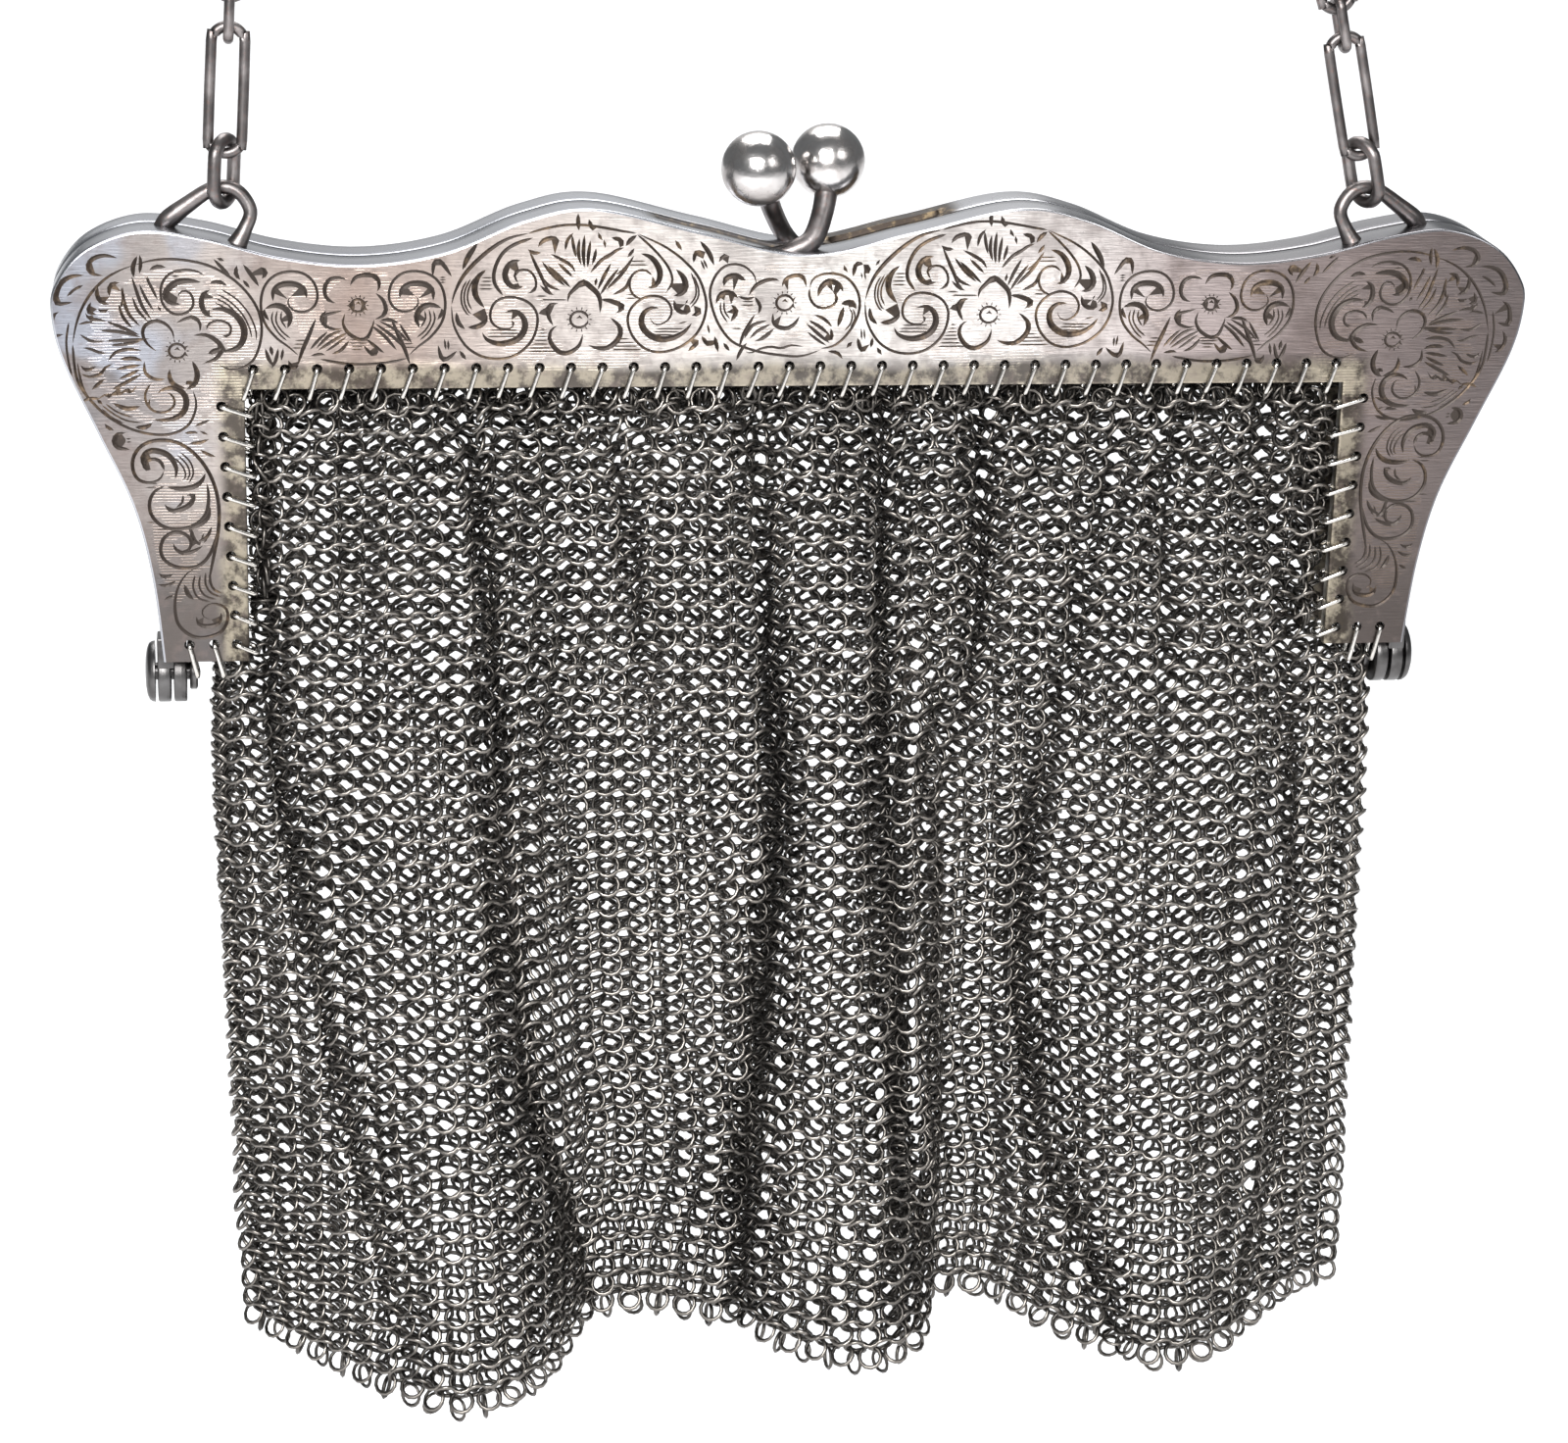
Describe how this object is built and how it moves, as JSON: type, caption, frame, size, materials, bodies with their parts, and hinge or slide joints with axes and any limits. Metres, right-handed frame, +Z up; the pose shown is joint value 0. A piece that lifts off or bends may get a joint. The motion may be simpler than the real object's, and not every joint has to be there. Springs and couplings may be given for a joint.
{
  "type": "metal mesh purse",
  "caption": "Ring-mesh handbag with a hinged engraved silver frame, a kiss clasp of two balls and a link chain to carry it.",
  "frame": {"origin": "top of the carrying chain's loop, where a hand or hook holds it", "axes": "+Z up, X across the frame, front of the purse towards -Y"},
  "size_m": [0.1493, 0.0196, 0.2444],
  "materials": {
    "frame_silver": "worn tarnished silver with engraving",
    "hinge_metal": "satin",
    "mesh_metal": "dark oxidised rings",
    "chain_metal": "dark oxidised wire"
  },
  "bodies": {
    "root": {"front_frame": "frame_silver", "back_frame": "frame_silver", "hinge_pin_left": "hinge_metal", "hinge_pin_right": "hinge_metal", "mesh_bag": "mesh_metal", "chain_link_01": "chain_metal", "chain_link_02": "chain_metal", "chain_link_03": "chain_metal", "chain_link_04": "chain_metal", "chain_link_05": "chain_metal", "chain_link_06": "chain_metal", "chain_link_07": "chain_metal", "chain_link_08": "chain_metal", "chain_link_09": "chain_metal", "chain_link_10": "chain_metal", "chain_link_11": "chain_metal", "chain_link_12": "chain_metal", "chain_link_13": "chain_metal", "chain_link_14": "chain_metal", "chain_link_15": "chain_metal", "chain_link_16": "chain_metal", "chain_link_17": "chain_metal", "chain_link_18": "chain_metal", "chain_link_19": "chain_metal", "chain_link_20": "chain_metal", "chain_link_21": "chain_metal", "chain_link_22": "chain_metal", "chain_link_23": "chain_metal", "chain_link_24": "chain_metal", "chain_link_25": "chain_metal", "chain_link_26": "chain_metal", "chain_link_27": "chain_metal", "chain_link_28": "chain_metal", "chain_link_29": "chain_metal", "chain_link_30": "chain_metal", "chain_link_31": "chain_metal", "chain_link_32": "chain_metal", "chain_link_33": "chain_metal", "chain_link_34": "chain_metal", "chain_link_35": "chain_metal", "chain_link_36": "chain_metal", "chain_link_37": "chain_metal"}
  },
  "joints": []
}
